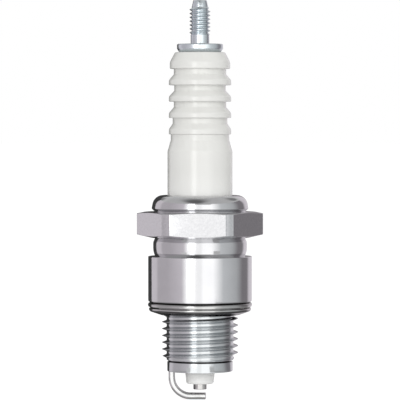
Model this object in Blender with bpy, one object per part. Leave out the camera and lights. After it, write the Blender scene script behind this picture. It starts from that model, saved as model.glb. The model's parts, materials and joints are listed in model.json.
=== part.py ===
"""Spark plug with a 14 mm thread, modelled as the separate pieces it is assembled from.

Frame: +Z runs along the plug's axis towards the terminal. The origin is on the axis, in the plane
of the shell's gasket seat. The ground electrode stands at -X, and a flat of the hexagon faces -Y.
"""
import math

import bmesh
import bpy
from mathutils import Matrix

MM = 0.001

# Clearances
FIT = 0.06 * MM              # between pieces that touch in the assembled plug
SHOULDER_GAP = 0.3 * MM      # under the insulator's shoulder, because the seat below it carries it
LIP_GAP = 0.1 * MM           # between the crimped lip and the insulator

# Facets round a turned piece
SIDES = 30                   # a multiple of 6, so that the hexagon's corners fall on facet edges
CORE_SIDES = 20
SHARP_ANGLE = math.radians(30)
MERGE_DISTANCE = 0.001 * MM

# Shell thread and end
THREAD_D = 13.95 * MM
THREAD_PITCH = 1.25 * MM
THREAD_WALL = 1.3 * MM       # from the root of the thread to the bore
THREAD_START = 0.29 * MM     # where the thread tool enters, above the shell's end
REACH = 12.7 * MM            # from the gasket seat to the shell's end
NECK_LENGTH = 1.8 * MM       # plain neck under the seat, where the gasket lies
PILOT_LENGTH = 1.9 * MM      # plain end below the thread
NECK_RELIEF = 0.08 * MM      # the neck lies this far below the thread's root
PILOT_RELIEF = 0.2 * MM      # and so does the pilot
PILOT_GROOVE = 0.15 * MM     # depth of the small groove at its top
END_CHAMFER = 0.2 * MM

# Thread form, as shares of the pitch
DEPTH_RATIO = 0.62
CREST_RATIO = 0.08
FLANK_SLOPE = math.tan(math.radians(30))
TOOL_OVERLAP = 0.3           # share of the crest that the tool reaches over on each side

# Shell body, from the seat upwards
COLLAR_D = 19.0 * MM
COLLAR_HEIGHT = 8.38 * MM
COLLAR_CHAMFER = 0.15 * MM
WAIST_WALL = 1.18 * MM       # at both ends of the waist
WAIST_BULGE = 0.29 * MM
WAIST_HEIGHT = 3.42 * MM
WAIST_STEPS = 6
HEX_FLATS = 20.8 * MM
HEX_CORNER_CUT = 0.45 * MM   # turned off each sharp corner
HEX_HEIGHT = 4.7 * MM
HEX_TOP_CHAMFER = 0.27 * MM
HEX_BOTTOM_CHAMFER = 0.6 * MM
HEX_CHAMFER_INSET = 0.15 * MM
HEX_UNDERSIDE_RING = 0.7 * MM  # flat ring round the waist, inside the sloping underside
CRIMP_HEIGHT = 3.1 * MM
CRIMP_WALL = 1.1 * MM        # at the neck above the hexagon
CRIMP_OVERHANG = 0.65 * MM   # of the rim beyond that neck
CRIMP_RIM_RISE = 0.5 * MM
CRIMP_ROLL = 1.95 * MM       # radius of the rolled edge
CRIMP_TOP_FALL = 0.1 * MM
CRIMP_STEPS = 5
CRIMP_ROLL_LEAN = 10         # degrees that the side of the roll leans out
LIP_EDGE = 0.35 * MM
PACKING_WIDTH = 1.1 * MM     # of the chamber round the insulator's body
SHOULDER_CONE = 3.0 * MM
SEAT_DEPTH = 4.5 * MM        # of the insulator's ledge below the gasket seat
SEAT_LEDGE = 0.7 * MM
SEAT_DROP = 0.4 * MM

# Insulator
BODY_D = 12.0 * MM
BODY_SHOWN = 8.0 * MM        # straight body above the crimp
BODY_FLARE = 3.1 * MM
RIB_D = 11.5 * MM
RIB_PITCH = 3.0 * MM
GROOVE_DEPTHS = (0.91 * MM, 1.0 * MM, 0.91 * MM, 0.7 * MM, 0.36 * MM)   # from the top rib down
GROOVE_LAND = 0.85 * MM
RIB_FLARE = 1.1 * MM
FLARE_STEPS = 3
HEAD_STEP = 0.17 * MM        # the top rib is this much slimmer than the others
HEAD_LAND = 1.2 * MM
HEAD_CONE = 1.4 * MM
HEAD_CONE_INSET = 0.8 * MM
TOP_ROUND = 0.4 * MM
SHOULDER_HEIGHT = 2.4 * MM
NOSE_GAP = 0.62 * MM         # between the nose's root and the shell
NOSE_TIP_WALL = 1.2 * MM
NOSE_SHOWN = 2.3 * MM        # below the shell's end
NOSE_ROUND = 0.4 * MM
ROUND_STEPS = 2

# Centre electrode
ELECTRODE_D = 2.44 * MM
ELECTRODE_SHOWN = 1.03 * MM  # below the insulator's nose
ELECTRODE_CHAMFER = 0.1 * MM
HEAD_SEAT_DEPTH = 1.0 * MM   # of the bore's step below the gasket seat
HEAD_HEIGHT = 1.4 * MM
COPPER_D = 1.4 * MM
COPPER_STOP = 2.0 * MM       # solid nickel left at the tip

# Column in the insulator's bore
LOWER_SEAL_LENGTH = 3.0 * MM
RESISTOR_LENGTH = 7.5 * MM
UPPER_SEAL_LENGTH = 3.5 * MM

# Terminal stud
SHANK_D = 4.0 * MM
SHANK_CHAMFER = 0.3 * MM
GRIP_COUNT = 4               # ring grooves that the glass grips
GRIP_PITCH = 1.0 * MM
GRIP_WIDTH = 0.5 * MM
GRIP_DEPTH = 0.2 * MM
FLANGE_D = 8.42 * MM
FLANGE_HEIGHT = 1.47 * MM
FLANGE_TOP_CHAMFER = 0.2 * MM
FLANGE_FOOT_INSET = 0.35 * MM
FLANGE_FOOT_RISE = 0.6 * MM
STUD_NECK_D = 3.48 * MM
STUD_NECK_LENGTH = 1.5 * MM
STUD_FILLET = 0.3 * MM
STUD_THREAD_D = 3.92 * MM
STUD_THREAD_PITCH = 0.7 * MM
STUD_THREAD_LENGTH = 5.27 * MM
STUD_POINT_D = 2.96 * MM     # plain point above the thread
STUD_POINT_LENGTH = 1.23 * MM
STUD_POINT_TAPER = 0.25 * MM  # smaller in radius at its end
STUD_POINT_CHAMFER = 0.12 * MM

# Gasket, folded from sheet
GASKET_PLAY = 0.1 * MM       # below the seat
GASKET_CATCH = 0.3 * MM      # its inner edge lies this far inside the thread's crest
GASKET_WIDTH = 2.86 * MM
GASKET_SHEET = 0.34 * MM
GASKET_LIP = 0.74 * MM       # the upper lip is two thicknesses pressed together
GASKET_SLIT = 0.11 * MM
GASKET_HEIGHT = 2.23 * MM
GASKET_LIP_OVERHANG = 0.16 * MM   # of the upper lip beyond the lower one
GASKET_FOLD_INSET = 1.0 * MM      # from the inner edge to the fold between the lips
GASKET_CONTACT = 0.45 * MM        # from the inner edge to the flat that seals
GASKET_EDGE_RISE = 0.15 * MM
GASKET_DISH = 1.4 * MM            # width of the lower lip's curve
GASKET_STEPS = 4

# Ground electrode
STRAP_THICKNESS = 1.1 * MM
STRAP_WIDTH = 2.6 * MM
STRAP_EDGE = 0.15 * MM
STRAP_INSET = 0.27 * MM      # of its outer face from the pilot
STRAP_LEG = 1.07 * MM        # straight part below the shell
STRAP_OVERHANG = 1.05 * MM   # past the axis
STRAP_STEPS = 6
SPARK_GAP = 0.7 * MM

# Other packings
SEAT_PACKING_THICKNESS = 0.35 * MM
WIRE_SIDES = 6

# Radii that follow from the sizes above
THREAD_R = THREAD_D / 2
THREAD_DEPTH = THREAD_PITCH * DEPTH_RATIO
ROOT_R = THREAD_R - THREAD_DEPTH
NECK_R = ROOT_R - NECK_RELIEF
PILOT_R = ROOT_R - PILOT_RELIEF
MID_BORE_R = ROOT_R - THREAD_WALL
TRUNK_R = MID_BORE_R - FIT
CHAMBER_R = MID_BORE_R - SEAT_LEDGE
NOSE_ROOT_R = CHAMBER_R - NOSE_GAP
ELECTRODE_R = ELECTRODE_D / 2
LOWER_BORE_R = ELECTRODE_R + FIT
NOSE_TIP_R = LOWER_BORE_R + NOSE_TIP_WALL
SHANK_R = SHANK_D / 2
UPPER_BORE_R = SHANK_R + FIT
BODY_R = BODY_D / 2
SHELL_BORE_R = BODY_R + PACKING_WIDTH
WAIST_R = SHELL_BORE_R + WAIST_WALL
SHOULDER_R = SHELL_BORE_R - FIT
LIP_R = BODY_R + LIP_GAP
WIRE_R = PACKING_WIDTH / 2 - FIT

# Heights that follow from the sizes above
HEX_BOTTOM = COLLAR_HEIGHT + WAIST_HEIGHT
HEX_TOP = HEX_BOTTOM + HEX_HEIGHT
CRIMP_TOP = HEX_TOP + CRIMP_HEIGHT
LIP_START = CRIMP_TOP - LIP_EDGE - (SHELL_BORE_R - LIP_R)
SHOULDER_BOTTOM = COLLAR_HEIGHT + SHOULDER_GAP
SHOULDER_TOP = SHOULDER_BOTTOM + SHOULDER_HEIGHT
RIBS_BOTTOM = CRIMP_TOP + BODY_SHOWN + BODY_FLARE
RIBS_TOP = RIBS_BOTTOM + RIB_PITCH * (len(GROOVE_DEPTHS) - 1)
INSULATOR_TOP = RIBS_TOP + HEAD_LAND + HEAD_CONE + TOP_ROUND
NOSE_TIP = -REACH - NOSE_SHOWN
ELECTRODE_TIP = NOSE_TIP - ELECTRODE_SHOWN
STRAP_BOTTOM = ELECTRODE_TIP - SPARK_GAP - STRAP_THICKNESS
HEAD_SHOULDER = -HEAD_SEAT_DEPTH + UPPER_BORE_R - LOWER_BORE_R
HEAD_TOP = HEAD_SHOULDER + HEAD_HEIGHT
LOWER_SEAL_BOTTOM = HEAD_TOP + FIT
RESISTOR_BOTTOM = LOWER_SEAL_BOTTOM + LOWER_SEAL_LENGTH + FIT
UPPER_SEAL_BOTTOM = RESISTOR_BOTTOM + RESISTOR_LENGTH + FIT
STUD_BOTTOM = UPPER_SEAL_BOTTOM + UPPER_SEAL_LENGTH + FIT
FLANGE_BOTTOM = INSULATOR_TOP + FIT
FLANGE_TOP = FLANGE_BOTTOM + FLANGE_HEIGHT
STUD_THREAD_BOTTOM = FLANGE_TOP + STUD_NECK_LENGTH
STUD_POINT_BOTTOM = STUD_THREAD_BOTTOM + STUD_THREAD_LENGTH
STUD_TIP = STUD_POINT_BOTTOM + STUD_POINT_LENGTH

# A packing ring lies in a corner with a 45 degree slope, halfway across the chamber
RING_STANDOFF = (WIRE_R + FIT) * math.sqrt(2)
LOWER_RING_Z = SHOULDER_TOP + SHOULDER_R - BODY_R - PACKING_WIDTH / 2 + RING_STANDOFF
UPPER_RING_Z = LIP_START + PACKING_WIDTH / 2 - RING_STANDOFF


def clear_scene():
    """Remove what the scene holds."""
    for old in list(bpy.data.objects):
        bpy.data.objects.remove(old, do_unlink=True)


def make_material(name, colour, roughness, metallic):
    """A Principled material of one colour."""
    material = bpy.data.materials.new(name)
    material.use_nodes = True
    shader = material.node_tree.nodes["Principled BSDF"]
    shader.inputs["Base Color"].default_value = (*colour, 1.0)
    shader.inputs["Roughness"].default_value = roughness
    shader.inputs["Metallic"].default_value = metallic
    return material


def add_object(name, bm, parent=None, material=None, location=(0, 0, 0)):
    """Turn a bmesh into a smooth-shaded object."""
    bmesh.ops.recalc_face_normals(bm, faces=bm.faces[:])
    mesh = bpy.data.meshes.new(name)
    bm.to_mesh(mesh)
    bm.free()
    mesh.shade_smooth()
    mesh.set_sharp_from_angle(angle=SHARP_ANGLE)
    piece = bpy.data.objects.new(name, mesh)
    bpy.context.collection.objects.link(piece)
    piece.parent = parent
    piece.location = location
    if material:
        mesh.materials.append(material)
    return piece


def turned(outline, sides):
    """Spin an outline of (radius, height) points round Z. It is a closed ring, or runs from axis to axis."""
    bm = bmesh.new()
    points = [bm.verts.new((radius, 0, height)) for radius, height in outline]
    pairs = list(zip(points, points[1:]))
    if outline[0][0] > 0:
        pairs.append((points[-1], points[0]))
    edges = [bm.edges.new(pair) for pair in pairs]
    bmesh.ops.spin(bm, geom=points + edges, cent=(0, 0, 0), axis=(0, 0, 1), angle=math.tau, steps=sides,
                   use_merge=True, use_duplicate=False)
    bmesh.ops.remove_doubles(bm, verts=bm.verts[:], dist=MERGE_DISTANCE)
    return bm


def arc(centre, radii, start, end, steps):
    """Points of an elliptical arc, with its angles in degrees from the +radius direction."""
    points = []
    for step in range(steps + 1):
        angle = math.radians(start + (end - start) * step / steps)
        points.append((centre[0] + radii[0] * math.cos(angle), centre[1] + radii[1] * math.sin(angle)))
    return points


def s_curve(start, end, steps):
    """Inner points of a smooth S from one (radius, height) to another."""
    points = []
    for step in range(1, steps):
        share = step / steps
        ease = share * share * (3 - 2 * share)
        radius = start[0] + (end[0] - start[0]) * ease
        points.append((radius, start[1] + (end[1] - start[1]) * share))
    return points


def cut(piece, cutter):
    """Cut one object out of another, and keep the cutter as a hidden guide."""
    cutter.hide_render = True
    cutter.display_type = "WIRE"
    boolean = piece.modifiers.new(cutter.name, "BOOLEAN")
    boolean.operation = "DIFFERENCE"
    boolean.solver = "EXACT"
    boolean.object = cutter


def thread_tool(name, parent, crest_r, pitch, start, end, sides):
    """The right-hand helical groove of a 60 degree thread, as a tool that is cut out of a blank."""
    depth = pitch * DEPTH_RATIO
    crest = pitch * CREST_RATIO
    root_half = pitch / 2 - crest / 2 - depth * FLANK_SLOPE
    overlap = crest * TOOL_OVERLAP
    outer_half = pitch / 2 - crest / 2 + overlap
    outer_r = crest_r + overlap / FLANK_SLOPE
    section = [(crest_r - depth, -root_half), (outer_r, -outer_half),
               (outer_r, outer_half), (crest_r - depth, root_half)]
    steps = math.ceil((end - start) / pitch * sides)
    bm = bmesh.new()
    points = [bm.verts.new((radius, 0, start + offset)) for radius, offset in section]
    face = bm.faces.new(points)
    bmesh.ops.spin(bm, geom=[face], cent=(0, 0, 0), axis=(0, 0, 1), dvec=(0, 0, pitch / sides),
                   angle=math.tau * steps / sides, steps=steps, use_duplicate=False)
    return add_object(name, bm, parent)


def hex_tool(parent):
    """A ring with a hexagonal hole, which planes the six flats."""
    apothem = HEX_FLATS / 2
    inner_r = apothem / math.cos(math.pi / 6)
    bottom = HEX_BOTTOM - HEX_CHAMFER_INSET
    top = HEX_TOP + HEX_CHAMFER_INSET
    bm = bmesh.new()
    corner_on_x = Matrix.Rotation(math.pi / 6, 4, "Z")
    for radius in (inner_r, inner_r + apothem):
        bmesh.ops.create_circle(bm, segments=6, radius=radius, matrix=corner_on_x)
    ring = bmesh.ops.bridge_loops(bm, edges=bm.edges[:])["faces"]
    raised = bmesh.ops.extrude_face_region(bm, geom=ring)["geom"]
    moved = [item for item in raised if isinstance(item, bmesh.types.BMVert)]
    bmesh.ops.translate(bm, verts=moved, vec=(0, 0, top - bottom))
    bmesh.ops.translate(bm, verts=bm.verts[:], vec=(0, 0, bottom))
    return add_object("hex_tool", bm, parent)


def crimp_outline():
    """The crimped lip: its top, the rolled edge and the rim that overhangs the hexagon."""
    neck_r = SHELL_BORE_R + CRIMP_WALL
    rim_r = neck_r + CRIMP_OVERHANG
    rim_z = HEX_TOP + CRIMP_RIM_RISE
    roll_z = CRIMP_TOP - CRIMP_TOP_FALL - CRIMP_ROLL
    lean = math.radians(CRIMP_ROLL_LEAN)
    side_r = rim_r - (roll_z - rim_z) * math.tan(lean)
    roll_r = side_r - CRIMP_ROLL / math.cos(lean)
    roll = arc((roll_r, roll_z), (CRIMP_ROLL, CRIMP_ROLL), 90, CRIMP_ROLL_LEAN, CRIMP_STEPS)
    return [(LIP_R, CRIMP_TOP)] + roll + [(rim_r, rim_z), (neck_r, HEX_TOP)]


def hex_outline():
    """The hexagon before its flats are cut, with a chamfered top and a sloping underside."""
    flat_r = HEX_FLATS / 2
    corner_r = flat_r / math.cos(math.pi / 6) - HEX_CORNER_CUT
    face_r = flat_r - HEX_CHAMFER_INSET
    return [(face_r, HEX_TOP), (corner_r, HEX_TOP - HEX_TOP_CHAMFER),
            (corner_r, HEX_BOTTOM + HEX_BOTTOM_CHAMFER), (WAIST_R + HEX_UNDERSIDE_RING, HEX_BOTTOM)]


def waist_outline():
    """The thin wall that buckles outwards when the shell is closed on the insulator."""
    points = []
    for step in range(WAIST_STEPS + 1):
        share = step / WAIST_STEPS
        points.append((WAIST_R + WAIST_BULGE * math.sin(math.pi * share), HEX_BOTTOM - WAIST_HEIGHT * share))
    return points


def shell_outline():
    """Section of the shell: down its outer side, then up its bore."""
    collar_r = COLLAR_D / 2
    pilot_top = -REACH + PILOT_LENGTH
    outside = crimp_outline() + hex_outline() + waist_outline() + [
        (collar_r - COLLAR_CHAMFER, COLLAR_HEIGHT),
        (collar_r, COLLAR_HEIGHT - COLLAR_CHAMFER),
        (collar_r, COLLAR_CHAMFER),
        (collar_r - COLLAR_CHAMFER, 0),
        (NECK_R, 0),
        (NECK_R, -NECK_LENGTH),
        (THREAD_R, -NECK_LENGTH - (THREAD_R - NECK_R)),
        (THREAD_R, pilot_top + (THREAD_R - PILOT_R)),
        (PILOT_R, pilot_top),
        (PILOT_R - PILOT_GROOVE, pilot_top - PILOT_GROOVE),
        (PILOT_R, pilot_top - 2 * PILOT_GROOVE),
        (PILOT_R, -REACH + END_CHAMFER),
        (PILOT_R - END_CHAMFER, -REACH),
    ]
    bore = [
        (CHAMBER_R, -REACH),
        (CHAMBER_R, -SEAT_DEPTH - SEAT_DROP),
        (MID_BORE_R, -SEAT_DEPTH),
        (MID_BORE_R, COLLAR_HEIGHT - SHOULDER_CONE),
        (SHELL_BORE_R, COLLAR_HEIGHT),
        (SHELL_BORE_R, LIP_START),
        (LIP_R, CRIMP_TOP - LIP_EDGE),
    ]
    return outside + bore


def make_shell(parent):
    """Plated steel body: a turned blank with its flats planed and its thread cut."""
    plated = make_material("plated_steel", (0.62, 0.61, 0.64), 0.28, 1.0)
    shell = add_object("shell", turned(shell_outline(), SIDES), parent, plated)
    cut(shell, hex_tool(parent))
    thread_end = -NECK_LENGTH + THREAD_PITCH / 2
    cut(shell, thread_tool("thread_tool", parent, THREAD_R, THREAD_PITCH, -REACH + THREAD_START,
                           thread_end, SIDES))


def seat_height(radius):
    """Height of the shell's sloping ledge at a radius."""
    return -SEAT_DEPTH - (MID_BORE_R - radius) * SEAT_DROP / SEAT_LEDGE


def make_seat_packing(parent):
    """Thin conical washer on the shell's ledge."""
    soft_steel = make_material("packing_steel", (0.55, 0.54, 0.52), 0.4, 1.0)
    outer_r = MID_BORE_R - FIT
    outer_z = seat_height(outer_r) + FIT
    inner_z = seat_height(CHAMBER_R) + FIT
    outline = [(outer_r, outer_z), (outer_r, outer_z + SEAT_PACKING_THICKNESS),
               (CHAMBER_R, inner_z + SEAT_PACKING_THICKNESS), (CHAMBER_R, inner_z)]
    add_object("seat_packing", turned(outline, SIDES), parent, soft_steel)


def ribs_outline():
    """The five ribs from the top down: a flat underside, a groove and a flare to the next rib or the body."""
    rib_r = RIB_D / 2
    points = []
    for index, depth in enumerate(GROOVE_DEPTHS):
        underside = RIBS_TOP - RIB_PITCH * index
        last = index == len(GROOVE_DEPTHS) - 1
        edge_r = rib_r - HEAD_STEP if index == 0 else rib_r
        flare_end = (BODY_R, underside - BODY_FLARE) if last else (rib_r, underside - GROOVE_LAND - RIB_FLARE)
        flare_start = (rib_r - depth, underside - GROOVE_LAND)
        points += [(edge_r, underside), (rib_r - depth, underside), flare_start]
        points += s_curve(flare_start, flare_end, FLARE_STEPS)
        points.append(flare_end)
    return points


def insulator_outline():
    """Section of the insulator: down its outer side, then up its bore."""
    head_r = RIB_D / 2 - HEAD_STEP
    cone_r = head_r - HEAD_CONE_INSET
    rise = 2 * FIT + SEAT_PACKING_THICKNESS
    top_round = arc((cone_r - TOP_ROUND, INSULATOR_TOP - TOP_ROUND), (TOP_ROUND, TOP_ROUND), 90, 0,
                    ROUND_STEPS)
    tip_round = arc((NOSE_TIP_R - NOSE_ROUND, NOSE_TIP + NOSE_ROUND), (NOSE_ROUND, NOSE_ROUND), 0, -90,
                    ROUND_STEPS)
    head = top_round + [(head_r, RIBS_TOP + HEAD_LAND)]
    inside_shell = [
        (BODY_R, SHOULDER_TOP + SHOULDER_R - BODY_R),
        (SHOULDER_R, SHOULDER_TOP),
        (SHOULDER_R, SHOULDER_BOTTOM),
        (TRUNK_R, SHOULDER_BOTTOM - SHOULDER_CONE),
        (TRUNK_R, seat_height(TRUNK_R) + rise),
        (NOSE_ROOT_R, seat_height(NOSE_ROOT_R) + rise),
    ]
    bore = [
        (LOWER_BORE_R, NOSE_TIP),
        (LOWER_BORE_R, -HEAD_SEAT_DEPTH),
        (UPPER_BORE_R, HEAD_SHOULDER),
        (UPPER_BORE_R, INSULATOR_TOP),
    ]
    return head + ribs_outline() + inside_shell + tip_round + bore


def make_insulator(parent):
    """Glazed ceramic body with its ribs, shoulder and nose."""
    glazed = make_material("glazed_ceramic", (0.86, 0.86, 0.84), 0.15, 0.0)
    add_object("insulator", turned(insulator_outline(), SIDES), parent, glazed)


def make_packing_ring(name, height, parent):
    """Wire ring in the chamber round the insulator."""
    wire = make_material(name + "_steel", (0.5, 0.5, 0.52), 0.4, 1.0)
    centre = (BODY_R + PACKING_WIDTH / 2, height)
    outline = arc(centre, (WIRE_R, WIRE_R), 0, 360, WIRE_SIDES)[:-1]
    add_object(name, turned(outline, SIDES), parent, wire)


def make_talc_fill(parent):
    """Pressed powder between the two packing rings."""
    talc = make_material("talc", (0.85, 0.84, 0.8), 0.9, 0.0)
    inner_r = BODY_R + FIT
    outer_r = SHELL_BORE_R - FIT
    bottom = LOWER_RING_Z + WIRE_R + FIT
    top = UPPER_RING_Z - WIRE_R - FIT
    outline = [(inner_r, top), (outer_r, top), (outer_r, bottom), (inner_r, bottom)]
    add_object("talc_fill", turned(outline, SIDES), parent, talc)


def make_centre_electrode(parent):
    """Nickel sheath with a head that rests on the step in the insulator's bore."""
    nickel = make_material("nickel_alloy", (0.6, 0.58, 0.56), 0.3, 1.0)
    head_r = UPPER_BORE_R - FIT
    hole_r = COPPER_D / 2 + FIT
    hole_bottom = ELECTRODE_TIP + COPPER_STOP
    outline = [
        (0, ELECTRODE_TIP),
        (ELECTRODE_R - ELECTRODE_CHAMFER, ELECTRODE_TIP),
        (ELECTRODE_R, ELECTRODE_TIP + ELECTRODE_CHAMFER),
        (ELECTRODE_R, -HEAD_SEAT_DEPTH),
        (head_r, HEAD_SHOULDER),
        (head_r, HEAD_TOP),
        (hole_r, HEAD_TOP),
        (hole_r, hole_bottom),
        (0, hole_bottom),
    ]
    add_object("centre_electrode", turned(outline, CORE_SIDES), parent, nickel)


def make_rod(name, radius, bottom, top, parent, material):
    """A plain round rod on the axis."""
    outline = [(0, bottom), (radius, bottom), (radius, top), (0, top)]
    add_object(name, turned(outline, CORE_SIDES), parent, material)


def make_copper_core(parent):
    """Copper rod that carries heat out of the electrode's tip."""
    copper = make_material("copper", (0.72, 0.36, 0.2), 0.3, 1.0)
    bottom = ELECTRODE_TIP + COPPER_STOP + FIT
    make_rod("copper_core", COPPER_D / 2, bottom, HEAD_TOP, parent, copper)


def make_column(parent):
    """Glass seals and resistor between the electrode's head and the terminal stud."""
    seal = make_material("conducting_glass", (0.13, 0.12, 0.12), 0.35, 0.0)
    carbon = make_material("carbon_glass", (0.06, 0.06, 0.065), 0.6, 0.0)
    lower_seal_top = LOWER_SEAL_BOTTOM + LOWER_SEAL_LENGTH
    resistor_top = RESISTOR_BOTTOM + RESISTOR_LENGTH
    upper_seal_top = UPPER_SEAL_BOTTOM + UPPER_SEAL_LENGTH
    make_rod("lower_glass_seal", SHANK_R, LOWER_SEAL_BOTTOM, lower_seal_top, parent, seal)
    make_rod("resistor", SHANK_R, RESISTOR_BOTTOM, resistor_top, parent, carbon)
    make_rod("upper_glass_seal", SHANK_R, UPPER_SEAL_BOTTOM, upper_seal_top, parent, seal)


def grip_outline():
    """Ring grooves near the stud's foot."""
    points = []
    for index in range(GRIP_COUNT):
        start = STUD_BOTTOM + GRIP_PITCH * (index + 1)
        floor_r = SHANK_R - GRIP_DEPTH
        points += [(SHANK_R, start), (floor_r, start + GRIP_WIDTH / 4),
                   (floor_r, start + GRIP_WIDTH * 3 / 4), (SHANK_R, start + GRIP_WIDTH)]
    return points


def stud_outline():
    """Section of the stud from its foot in the bore to its tip."""
    flange_r = FLANGE_D / 2
    neck_r = STUD_NECK_D / 2
    thread_r = STUD_THREAD_D / 2
    point_r = STUD_POINT_D / 2
    end_r = point_r - STUD_POINT_TAPER
    foot = [(0, STUD_BOTTOM), (SHANK_R - SHANK_CHAMFER, STUD_BOTTOM), (SHANK_R, STUD_BOTTOM + SHANK_CHAMFER)]
    flange = [
        (SHANK_R, FLANGE_BOTTOM),
        (flange_r - FLANGE_FOOT_INSET, FLANGE_BOTTOM),
        (flange_r, FLANGE_BOTTOM + FLANGE_FOOT_RISE),
        (flange_r, FLANGE_TOP - FLANGE_TOP_CHAMFER),
        (flange_r - FLANGE_TOP_CHAMFER, FLANGE_TOP),
        (neck_r + STUD_FILLET, FLANGE_TOP),
        (neck_r, FLANGE_TOP + STUD_FILLET),
    ]
    threaded = [
        (neck_r, STUD_THREAD_BOTTOM),
        (thread_r, STUD_THREAD_BOTTOM + thread_r - neck_r),
        (thread_r, STUD_POINT_BOTTOM - (thread_r - point_r)),
        (point_r, STUD_POINT_BOTTOM),
        (end_r, STUD_TIP - STUD_POINT_CHAMFER),
        (end_r - STUD_POINT_CHAMFER, STUD_TIP),
        (0, STUD_TIP),
    ]
    return foot + grip_outline() + flange + threaded


def make_terminal_stud(parent):
    """Steel stud with its flange on the insulator and a thread for the cap's nut."""
    steel = make_material("terminal_steel", (0.6, 0.62, 0.66), 0.3, 1.0)
    stud = add_object("terminal_stud", turned(stud_outline(), CORE_SIDES), parent, steel)
    thread_start = STUD_THREAD_BOTTOM + STUD_THREAD_PITCH / 2
    thread_end = STUD_POINT_BOTTOM + STUD_THREAD_PITCH
    cut(stud, thread_tool("stud_thread_tool", parent, STUD_THREAD_D / 2, STUD_THREAD_PITCH, thread_start,
                          thread_end, CORE_SIDES))


def gasket_outline():
    """Section of the folded sheet, with its height measured down from its top face."""
    inner_r = THREAD_R - GASKET_CATCH
    outer_r = inner_r + GASKET_WIDTH
    lip_half = GASKET_LIP / 2
    lip = arc((outer_r - lip_half, -lip_half), (lip_half, lip_half), 90, -90, GASKET_STEPS)
    fold_r = inner_r + GASKET_FOLD_INSET
    lower_top = -GASKET_LIP - GASKET_SLIT
    lower_height = GASKET_HEIGHT + lower_top
    lower_r = outer_r - GASKET_LIP_OVERHANG
    dish_centre = (lower_r - GASKET_DISH, lower_top - GASKET_SHEET / 2)
    dish_height = lower_height - GASKET_SHEET / 2
    outer_dish = arc(dish_centre, (GASKET_DISH, dish_height), 0, -90, GASKET_STEPS)
    inner_radii = (GASKET_DISH - GASKET_SHEET, dish_height - GASKET_SHEET)
    inner_dish = arc(dish_centre, inner_radii, -90, 0, GASKET_STEPS)
    hollow_r = inner_r + GASKET_CONTACT
    return lip + [
        (fold_r, -GASKET_LIP),
        (fold_r, lower_top),
        (lower_r - GASKET_SHEET / 2, lower_top),
    ] + outer_dish + [
        (hollow_r, -GASKET_HEIGHT),
        (inner_r, -GASKET_HEIGHT + GASKET_EDGE_RISE),
        (inner_r, -GASKET_HEIGHT + GASKET_EDGE_RISE + GASKET_SHEET),
        (hollow_r, -GASKET_HEIGHT + GASKET_SHEET),
    ] + inner_dish[:-1] + [
        (lower_r - GASKET_SHEET, lower_top - GASKET_SHEET),
        (hollow_r, lower_top - GASKET_SHEET),
        (hollow_r, 0),
    ]


def make_gasket(parent):
    """Captive sealing ring, loose on the neck under the collar. Its origin is on the axis it turns about."""
    plated = make_material("gasket_steel", (0.66, 0.65, 0.68), 0.3, 1.0)
    add_object("gasket", turned(gasket_outline(), SIDES), parent, plated, (0, 0, -GASKET_PLAY))


def make_ground_electrode(parent):
    """Rectangular strap that hangs from the shell's end and bends under the centre electrode."""
    nickel = make_material("strap_nickel", (0.75, 0.74, 0.73), 0.3, 1.0)
    outer_x = -(PILOT_R - STRAP_INSET)
    inner_x = outer_x + STRAP_THICKNESS
    top = -REACH - FIT
    bend_r = top - STRAP_LEG - STRAP_BOTTOM
    half_width = STRAP_WIDTH / 2
    corners = [(outer_x, -half_width), (inner_x, -half_width), (inner_x, half_width), (outer_x, half_width)]
    bm = bmesh.new()
    face = bm.faces.new([bm.verts.new((x, y, top)) for x, y in corners])
    bmesh.ops.bevel(bm, geom=face.verts[:], offset=STRAP_EDGE, segments=1, profile=0.5, affect="VERTICES")
    bm.faces.ensure_lookup_table()

    def with_edges(faces):
        return faces + [edge for face in faces for edge in face.edges]

    def pull(faces, vector):
        pulled = bmesh.ops.extrude_face_region(bm, geom=with_edges(faces))["geom"]
        moved = [item for item in pulled if isinstance(item, bmesh.types.BMVert)]
        bmesh.ops.translate(bm, verts=moved, vec=vector)
        return [item for item in pulled if isinstance(item, bmesh.types.BMFace)]

    leg_end = pull(bm.faces[:], (0, 0, -STRAP_LEG))
    bend = bmesh.ops.spin(bm, geom=with_edges(leg_end), cent=(outer_x + bend_r, 0, top - STRAP_LEG),
                          axis=(0, -1, 0), angle=math.pi / 2, steps=STRAP_STEPS, use_duplicate=False)
    bend_end = [item for item in bend["geom_last"] if isinstance(item, bmesh.types.BMFace)]
    pull(bend_end, (STRAP_OVERHANG - outer_x - bend_r, 0, 0))
    add_object("ground_electrode", bm, parent, nickel)


def main():
    """Build every piece of the plug under one parent at the seat."""
    clear_scene()
    plug = bpy.data.objects.new("spark_plug", None)
    bpy.context.collection.objects.link(plug)
    make_shell(plug)
    make_gasket(plug)
    make_ground_electrode(plug)
    make_insulator(plug)
    make_seat_packing(plug)
    make_packing_ring("lower_packing_ring", LOWER_RING_Z, plug)
    make_talc_fill(plug)
    make_packing_ring("upper_packing_ring", UPPER_RING_Z, plug)
    make_centre_electrode(plug)
    make_copper_core(plug)
    make_column(plug)
    make_terminal_stud(plug)


main()
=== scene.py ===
"""Looks of a spark plug with a 14 mm thread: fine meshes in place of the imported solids, their finishes,
and the floor, light and camera of a plain studio picture.

Frame: +Z runs along the plug's axis towards the terminal. The origin is on the axis, in the plane of the
shell's gasket seat. The ground electrode stands at -X, and the camera looks nearly along +Y.
"""
import json
import math

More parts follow.
